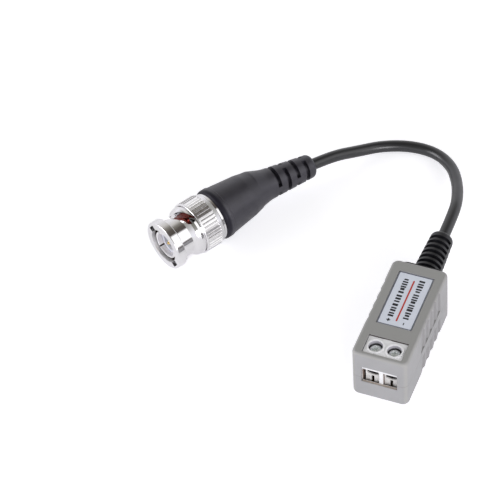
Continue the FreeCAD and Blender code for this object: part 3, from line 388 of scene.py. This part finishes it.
dress(moulded_grey, "lower_shell", "upper_shell")
dress(printed_film, "label")
dress(board_brown, "circuit_board")
dress(terminal_grey, "terminal_block")
dress(screw_steel, "terminal_screw_positive", "terminal_screw_negative")
dress(tinned, "clamp_cage_positive", "clamp_cage_negative")
dress(tinned, "fixed_contact_positive", "fixed_contact_negative")
dress(ferrite, "ferrite_core")
dress(copper, "line_winding", "coax_winding")
dress(part_blue, "surge_suppressor", "blocking_capacitor")
dress(moulded_black, "plug_boot")
dress(relief_black, "strain_relief")
dress(jacket, "cable", "cable_core_end")
dress(lead_white, "signal_lead", "shield_lead", "plug_cable_end")
dress(nickel, "coupling_sleeve", "plug_body", "crimp_sleeve")
dress(spring_steel, "spring_washer", "thrust_washer", "retaining_ring")
dress(white_insulator, "insulator")
dress(gold, "centre_pin")
dress(silicone, "gasket")


# Cable: the same route as the solid

CABLE_RADIUS = 1.6
ROUTE = (
    (0, 34.1, 8.6),
    (0, 43.6, 8.6),
    (-1.2, 50.2, 7.1),
    (-3.6, 57.3, 4.9),
    (-7.5, 64.5, 2.9),
    (-13.5, 69.1, 1.8),
    (-20.9, 69.6, 1.6),
    (-28.4, 66.9, 1.9),
    (-34.1, 61.6, 3.1),
    (-39.2, 56.08, 5.06),
    (-43.3, 50.44, 5.71),
)


def lay_cable():
    data = bpy.data.curves.new("cable_run", "CURVE")
    data.dimensions = "3D"
    data.bevel_depth = CABLE_RADIUS * MM
    data.bevel_resolution = 8
    data.resolution_u = 16
    data.use_fill_caps = True
    spline = data.splines.new("NURBS")
    spline.points.add(len(ROUTE) - 1)
    for point, (x, y, z) in zip(spline.points, ROUTE):
        point.co = (x * MM, y * MM, z * MM, 1)
    spline.order_u = 3
    spline.use_endpoint_u = True
    data.materials.append(jacket.material)
    cable = add_object("cable_run", data)
    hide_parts("cable")
    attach(cable, "balun")


lay_cable()


# Label print: rows of plain bars either side of a red line and the two pole signs, and a dark frame of
# painted shade round the rim

LABEL_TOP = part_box("label")[1].z / MM
LABEL_CENTRE = (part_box("label")[0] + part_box("label")[1]) / 2 / MM
PRINT_THICKNESS = 0.02
ROW_OFFSET = 2.05
ROWS = ((-1, 1.45, 6.9), (1, 1.55, 7.4))
ROW_END = -6.4
BAR_WIDTHS = (0.5, 0.64, 0.5, 0.78)
BAR_SHARES = (1, 1, 0.78)
BAR_GAPS = (0.34, 0.34, 0.7)
SIGN_CORNER = 0.02


def flat_piece(name, outlines, material):
    """A thin layer from closed outlines, standing just proud of the label: print, or painted shade."""
    mesh = bmesh.new()
    for outline in outlines:
        foot, top = (
            [mesh.verts.new((x * MM, y * MM, z * MM)) for x, y in outline]
            for z in (LABEL_TOP, LABEL_TOP + PRINT_THICKNESS)
        )
        mesh.faces.new(top)
        for i in range(len(outline)):
            j = (i + 1) % len(outline)
            mesh.faces.new((foot[i], foot[j], top[j], top[i]))
    piece = as_object(name, mesh)
    piece.data.materials.append(material)
    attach(piece, "balun")


def bar(x, y, wide, long, corner=0.08):
    """A small upright bar with cut corners."""
    half_x, half_y = wide / 2, long / 2
    return [
        (x - half_x + corner, y - half_y),
        (x + half_x - corner, y - half_y),
        (x + half_x, y - half_y + corner),
        (x + half_x, y + half_y - corner),
        (x + half_x - corner, y + half_y),
        (x - half_x + corner, y + half_y),
        (x - half_x, y + half_y - corner),
        (x - half_x, y - half_y + corner),
    ]


def border(centre, half_x, half_y, corner, line):
    """The short pieces of a frame with round corners, for the painted shade round the label."""
    steps = 6
    rings = []
    for inset in (0, line):
        ring = []
        for quarter, (side_x, side_y) in enumerate(((1, 1), (-1, 1), (-1, -1), (1, -1))):
            for step in range(steps + 1):
                angle = math.radians(90 * (quarter + step / steps))
                ring.append((
                    centre.x + side_x * (half_x - corner) + (corner - inset) * math.cos(angle),
                    centre.y + side_y * (half_y - corner) + (corner - inset) * math.sin(angle),
                ))
        rings.append(ring)
    outer, inner = rings
    count = len(outer)
    return [(outer[i], outer[(i + 1) % count], inner[(i + 1) % count], inner[i]) for i in range(count)]


def print_label():
    chance = random.Random(5)
    middle_x, middle_y = LABEL_CENTRE.x, LABEL_CENTRE.y
    bars = []
    for side, height, start in ROWS:
        y = middle_y + start
        while y > middle_y + ROW_END:
            wide = chance.choice(BAR_WIDTHS)
            tall = height * chance.choice(BAR_SHARES)
            bars.append(bar(middle_x + side * ROW_OFFSET, y, tall, wide))
            y -= wide + chance.choice(BAR_GAPS)
    plus = (middle_x - 2.1, middle_y - 7.4)
    minus = (middle_x + 2.1, middle_y - 7.6)
    signs = [
        bar(*plus, wide=1.05, long=0.32, corner=SIGN_CORNER),
        bar(*plus, wide=0.32, long=1.05, corner=SIGN_CORNER),
        bar(*minus, wide=0.24, long=0.8, corner=SIGN_CORNER),
    ]
    rim_shade_frame = border(LABEL_CENTRE, half_x=4.66, half_y=9.16, corner=0.56, line=0.24)
    centre_line = bar(middle_x, middle_y - 0.1, wide=0.42, long=14.4, corner=0.1)
    flat_piece("label_print", bars + signs, ink.material)
    # The dark frame round the label's rim is painted shade of its recess, not print.
    flat_piece("label_border", rim_shade_frame, label_rim_shade.material)
    flat_piece("label_line", [centre_line], red_ink.material)


print_label()


# Terminal screws: the same screws with domed heads and tapered cross recesses

HEAD_TOP = 15.1
HEAD_PROFILE = (
    (0.0, HEAD_TOP),
    (0.5, 15.07),
    (0.95, 14.95),
    (1.3, 14.76),
    (1.56, 14.5),
    (1.7, 14.22),
    (1.74, 14.0),
    (1.74, 13.85),
    (1.7, 13.81),
    (1.44, 13.8),
)
SHANK_RADIUS = 1.44
TIP_RADIUS = 1.2
TIP_CHAMFER = 0.3
CROSS_HALF_LONG = 1.2
CROSS_HALF_WIDE = 0.25
CROSS_DEPTH = 0.85
CROSS_TAPER = 0.45
TURNED_SIDES = 48


def turned(profile):
    """A solid of revolution about z from a profile that starts and ends on the axis."""
    mesh = bmesh.new()
    rings = []
    for radius, height in profile:
        if radius == 0:
            rings.append([mesh.verts.new((0, 0, height * MM))])
            continue
        angles = (2 * math.pi * side / TURNED_SIDES for side in range(TURNED_SIDES))
        rings.append([
            mesh.verts.new((radius * math.cos(angle) * MM, radius * math.sin(angle) * MM, height * MM))
            for angle in angles
        ])
    for upper, lower in zip(rings, rings[1:]):
        for side in range(TURNED_SIDES):
            after = (side + 1) % TURNED_SIDES
            if len(upper) == 1:
                mesh.faces.new((upper[0], lower[side], lower[after]))
            elif len(lower) == 1:
                mesh.faces.new((upper[side], lower[0], upper[after]))
            else:
                mesh.faces.new((upper[side], lower[side], lower[after], upper[after]))
    bmesh.ops.recalc_face_normals(mesh, faces=mesh.faces)
    return mesh


def tapered_bar(mesh, top, bottom, heading):
    """A four-sided cutter for one arm of the cross, narrower at its bottom."""
    corners = []
    for height, share in ((bottom, CROSS_TAPER), (top, 1.0)):
        for side_x, side_y in ((-1, -1), (1, -1), (1, 1), (-1, 1)):
            x, y = side_x * CROSS_HALF_LONG * share, side_y * CROSS_HALF_WIDE * (0.5 + share / 2)
            turned_x = x * math.cos(heading) - y * math.sin(heading)
            turned_y = x * math.sin(heading) + y * math.cos(heading)
            corners.append(mesh.verts.new((turned_x * MM, turned_y * MM, height * MM)))
    low, high = corners[:4], corners[4:]
    mesh.faces.new(low[::-1])
    mesh.faces.new(high)
    for i in range(4):
        j = (i + 1) % 4
        mesh.faces.new((low[i], low[j], high[j], high[i]))


def cut_cross(screw, heading):
    """Cut two crossed arms into the head, the first at the heading in radians."""
    for turn in (0, math.pi / 2):
        mesh = bmesh.new()
        tapered_bar(mesh, HEAD_TOP + 0.2, HEAD_TOP - CROSS_DEPTH, heading + turn)
        cutter = as_object("cutter", mesh)
        cut = screw.modifiers.new("cross", "BOOLEAN")
        cut.operation = "DIFFERENCE"
        cut.solver = "EXACT"
        cut.object = cutter
        solid = bpy.data.meshes.new_from_object(screw.evaluated_get(bpy.context.evaluated_depsgraph_get()))
        screw.modifiers.clear()
        screw.data = solid
        bpy.data.objects.remove(cutter)


def make_screw(pole, heading):
    """One screw over the solid of that pole, its cross turned to the heading in degrees."""
    node = f"terminal_screw_{pole}"
    low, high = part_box(node)
    foot = low.z / MM
    tip = ((SHANK_RADIUS, foot + TIP_CHAMFER), (TIP_RADIUS, foot), (0.0, foot))
    screw = as_object(f"screw_{pole}_domed", turned(HEAD_PROFILE + tip))
    cut_cross(screw, math.radians(heading))
    for face in screw.data.polygons:
        face.use_smooth = abs(face.normal.z) > 0.05
    screw.data.set_sharp_from_angle(angle=math.radians(35))
    screw.data.materials.clear()
    screw.data.materials.append(screw_steel.material)
    centre = (low + high) / 2
    screw.data.transform(Matrix.Translation((centre.x, centre.y, 0)))
    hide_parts(node)
    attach(screw, f"screw_{pole}")


make_screw("positive", 40)
make_screw("negative", 12)


# Floor, white to the camera and pale in reflections

FLOOR_REACH = 3000
FLOOR_DROP = 0.02
FLOOR_COLOUR = (0.86, 0.86, 0.88, 1)
GLOW_COLOUR = (0.97, 0.97, 1, 1)
SEEN_GLOW = 0.55
MIRRORED_GLOW = 0.25


def floor_material():
    material = bpy.data.materials.new("floor")
    material.use_nodes = True
    tree = material.node_tree
    tree.nodes.clear()
    output = tree.nodes.new("ShaderNodeOutputMaterial")
    lit = tree.nodes.new("ShaderNodeBsdfDiffuse")
    lit.inputs["Color"].default_value = FLOOR_COLOUR
    glow = tree.nodes.new("ShaderNodeEmission")
    glow.inputs["Color"].default_value = GLOW_COLOUR
    total = tree.nodes.new("ShaderNodeAddShader")
    rays = tree.nodes.new("ShaderNodeLightPath")
    seen = join_math(tree, "MULTIPLY", rays.outputs["Is Camera Ray"], SEEN_GLOW)
    mirrored = join_math(tree, "MULTIPLY", rays.outputs["Is Glossy Ray"], MIRRORED_GLOW)
    tree.links.new(join_math(tree, "ADD", seen, mirrored), glow.inputs["Strength"])
    tree.links.new(lit.outputs[0], total.inputs[0])
    tree.links.new(glow.outputs[0], total.inputs[1])
    tree.links.new(total.outputs[0], output.inputs["Surface"])
    return material


def make_floor():
    data = bpy.data.meshes.new("floor")
    reach = FLOOR_REACH * MM
    corners = [(-reach, -reach, 0), (reach, -reach, 0), (reach, reach, 0), (-reach, reach, 0)]
    data.from_pydata(corners, [], [(0, 1, 2, 3)])
    data.materials.append(floor_material())
    floor = add_object("floor", data)
    floor.location.z = cad_box[0].z - FLOOR_DROP * MM


make_floor()


# World: bands of light that the round plug mirrors, and a plain room everywhere else

WORLD_ALONG = (-0.5, -0.866, 0)
WORLD_ACROSS = (0.866, -0.5, 0)
CONE_LEVEL = 0.39
CONE_EDGE = (0.14, 0.3)
WORLD_STRENGTH = 1.35

# Colours by the turn about the plug's axis: 0 towards WORLD_ACROSS, 0.5 overhead, 1 on the far side
BANDS = (
    (0.0, (0.75, 0.74, 0.8)),
    (0.03, (0.12, 0.11, 0.11)),
    (0.06, (0.12, 0.11, 0.11)),
    (0.09, (1.0, 1.0, 1.0)),
    (0.36, (1.0, 1.0, 1.0)),
    (0.41, (0.07, 0.06, 0.055)),
    (0.52, (0.09, 0.08, 0.07)),
    (0.62, (0.2, 0.19, 0.17)),
    (0.72, (0.5, 0.49, 0.47)),
    (0.86, (0.65, 0.65, 0.66)),
    (1.0, (0.75, 0.75, 0.78)),
)

# Colours by the height of the direction: 0 level, 1 overhead
ROOM = (
    (0.0, (0.8, 0.8, 0.85)),
    (0.3, (0.72, 0.72, 0.75)),
    (0.6, (0.28, 0.28, 0.26)),
    (1.0, (0.12, 0.12, 0.1)),
)


def ramp(tree, factor, stops):
    """A colour ramp with a stop at each position."""
    node = tree.nodes.new("ShaderNodeValToRGB")
    elements = node.color_ramp.elements
    for element, (position, colour) in zip(elements, (stops[0], stops[-1])):
        element.position, element.color = position, (*colour, 1)
    for position, colour in stops[1:-1]:
        elements.new(position).color = (*colour, 1)
    tree.links.new(factor, node.inputs["Fac"])
    return node.outputs["Color"]


def light_world():
    """The bands fill the cone of directions that the plug's barrel mirrors, and the room fills the rest."""
    world = bpy.data.worlds.new("studio")
    bpy.context.scene.world = world
    world.use_nodes = True
    tree = world.node_tree
    where = tree.nodes.new("ShaderNodeTexCoord").outputs["Generated"]
    height = project(tree, where, AXES["z"])
    turn = join_math(tree, "ARCTAN2", height, project(tree, where, WORLD_ACROSS))
    bands = ramp(tree, join_math(tree, "DIVIDE", turn, math.pi), BANDS)
    room = ramp(tree, height, ROOM)
    off_cone = join_math(tree, "ADD", project(tree, where, WORLD_ALONG), CONE_LEVEL)
    share = tree.nodes.new("ShaderNodeMapRange")
    share.inputs["From Min"].default_value, share.inputs["From Max"].default_value = CONE_EDGE
    tree.links.new(join_math(tree, "ABSOLUTE", off_cone, 0.0), share.inputs["Value"])
    back = tree.nodes["Background"]
    tree.links.new(blend(tree, share.outputs["Result"], bands, room), back.inputs["Color"])
    back.inputs["Strength"].default_value = WORLD_STRENGTH


light_world()


# Lamps: places and sizes in metres

LAMP_AIM = (-0.02, 0.02, 0.01)
LAMP_COLOUR = (0.98, 0.97, 1.0)


def add_lamp(name, place, size, power):
    data = bpy.data.lights.new(name, "AREA")
    data.shape = "RECTANGLE"
    data.size, data.size_y = size
    data.energy = power
    data.color = LAMP_COLOUR
    lamp = add_object(name, data)
    lamp.location = place
    lamp.rotation_mode = "QUATERNION"
    lamp.rotation_quaternion = (Vector(LAMP_AIM) - Vector(place)).to_track_quat("-Z", "Y")


add_lamp("key", place=(0.75, -0.7, 0.4), size=(0.7, 0.5), power=6.0)
add_lamp("fill", place=(-0.85, -0.35, 0.35), size=(0.6, 0.5), power=4.0)

scene = bpy.context.scene
scene.view_settings.view_transform = "Standard"
